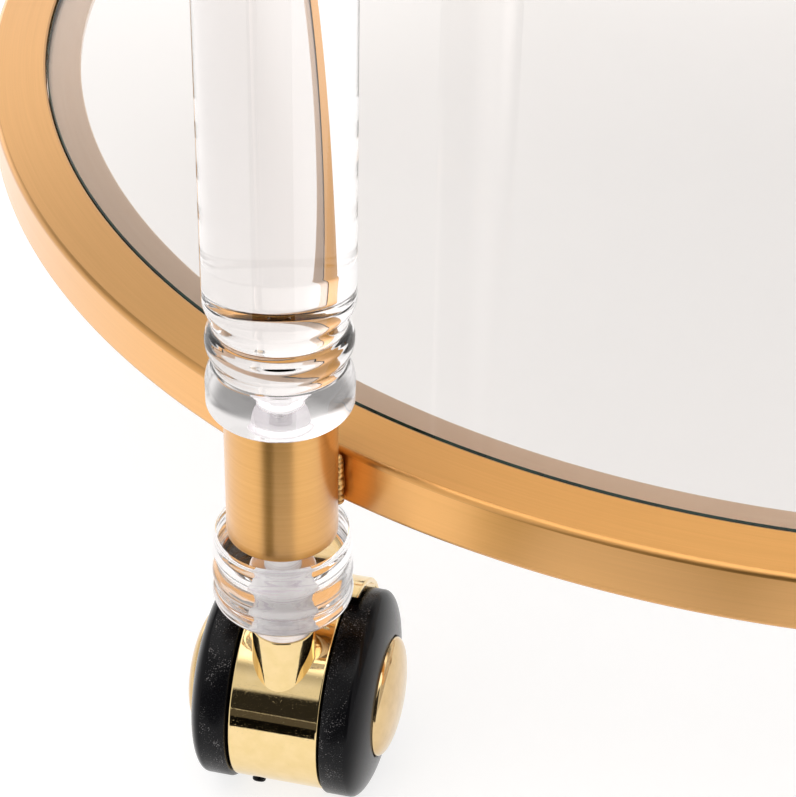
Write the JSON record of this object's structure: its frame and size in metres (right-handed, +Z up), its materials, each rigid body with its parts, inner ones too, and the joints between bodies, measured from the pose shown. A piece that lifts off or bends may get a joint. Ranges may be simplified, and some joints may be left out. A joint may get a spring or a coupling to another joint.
{
  "type": "bar cart",
  "caption": "Round two-tier bar cart with clear glass shelves in brushed gold rings, thick clear acrylic posts with turned beads, and gold twin-wheel casters.",
  "frame": {"origin": "on the floor, under the centre of the two rings", "axes": "+Z up; post A stands on -Y, posts B and C follow at 120 degrees"},
  "size_m": [0.6139, 0.6392, 0.7621],
  "materials": {
    "brushed_gold": "fine circumferential brushing, satin",
    "polished_gold": "mirror polished plating",
    "clear_acrylic": "clear, polished",
    "clear_glass": "clear, polished edge",
    "steel": "zinc plated",
    "pale_plate": "satin plated",
    "black_plastic": "gloss, fine speckle"
  },
  "bodies": {
    "frame": {"lower_ring": "brushed_gold", "lower_ledge": "brushed_gold", "lower_glass": "clear_glass", "upper_ring": "brushed_gold", "upper_ledge": "brushed_gold", "upper_glass": "clear_glass", "a_caster_stem": "pale_plate", "a_foot": "clear_acrylic", "a_lower_sleeve": "brushed_gold", "a_lower_stud": "steel", "a_post": "clear_acrylic", "a_upper_sleeve": "brushed_gold", "a_upper_stud": "steel", "a_finial": "clear_acrylic", "b_caster_stem": "pale_plate", "b_foot": "clear_acrylic", "b_lower_sleeve": "brushed_gold", "b_lower_stud": "steel", "b_post": "clear_acrylic", "b_upper_sleeve": "brushed_gold", "b_upper_stud": "steel", "b_finial": "clear_acrylic", "c_caster_stem": "pale_plate", "c_foot": "clear_acrylic", "c_lower_sleeve": "brushed_gold", "c_lower_stud": "steel", "c_post": "clear_acrylic", "c_upper_sleeve": "brushed_gold", "c_upper_stud": "steel", "c_finial": "clear_acrylic"},
    "a_caster": {"a_caster_body": "polished_gold", "a_axle": "steel", "a_hood_plug": "black_plastic"},
    "a_wheel_left_body": {"a_wheel_left": "black_plastic", "a_cap_left": "polished_gold"},
    "a_wheel_right_body": {"a_wheel_right": "black_plastic", "a_cap_right": "polished_gold"},
    "b_caster": {"b_caster_body": "polished_gold", "b_axle": "steel", "b_hood_plug": "black_plastic"},
    "b_wheel_left_body": {"b_wheel_left": "black_plastic", "b_cap_left": "polished_gold"},
    "b_wheel_right_body": {"b_wheel_right": "black_plastic", "b_cap_right": "polished_gold"},
    "c_caster": {"c_caster_body": "polished_gold", "c_axle": "steel", "c_hood_plug": "black_plastic"},
    "c_wheel_left_body": {"c_wheel_left": "black_plastic", "c_cap_left": "polished_gold"},
    "c_wheel_right_body": {"c_wheel_right": "black_plastic", "c_cap_right": "polished_gold"}
  },
  "joints": [
    {"name": "a_swivel", "type": "hinge", "parent": "frame", "child": "a_caster", "pos_m": [0, -0.3148, 0.0664], "axis": [0, 0, 1], "continuous": true},
    {"name": "a_spin_left", "type": "hinge", "parent": "a_caster", "child": "a_wheel_left_body", "pos_m": [-0.00626, -0.30106, 0.0307], "axis": [0.91, 0.4147, 0], "continuous": true},
    {"name": "a_spin_right", "type": "hinge", "parent": "a_caster", "child": "a_wheel_right_body", "pos_m": [-0.00626, -0.30106, 0.0307], "axis": [0.91, 0.4147, 0], "continuous": true},
    {"name": "b_swivel", "type": "hinge", "parent": "frame", "child": "b_caster", "pos_m": [0.27263, 0.1574, 0.0664], "axis": [0, 0, 1], "continuous": true},
    {"name": "b_spin_left", "type": "hinge", "parent": "b_caster", "child": "b_wheel_left_body", "pos_m": [0.26636, 0.17114, 0.0307], "axis": [0.91, 0.4147, 0], "continuous": true},
    {"name": "b_spin_right", "type": "hinge", "parent": "b_caster", "child": "b_wheel_right_body", "pos_m": [0.26636, 0.17114, 0.0307], "axis": [0.91, 0.4147, 0], "continuous": true},
    {"name": "c_swivel", "type": "hinge", "parent": "frame", "child": "c_caster", "pos_m": [-0.27263, 0.1574, 0.0664], "axis": [0, 0, 1], "continuous": true},
    {"name": "c_spin_left", "type": "hinge", "parent": "c_caster", "child": "c_wheel_left_body", "pos_m": [-0.27889, 0.17114, 0.0307], "axis": [0.91, 0.4147, 0], "continuous": true},
    {"name": "c_spin_right", "type": "hinge", "parent": "c_caster", "child": "c_wheel_right_body", "pos_m": [-0.27889, 0.17114, 0.0307], "axis": [0.91, 0.4147, 0], "continuous": true}
  ]
}
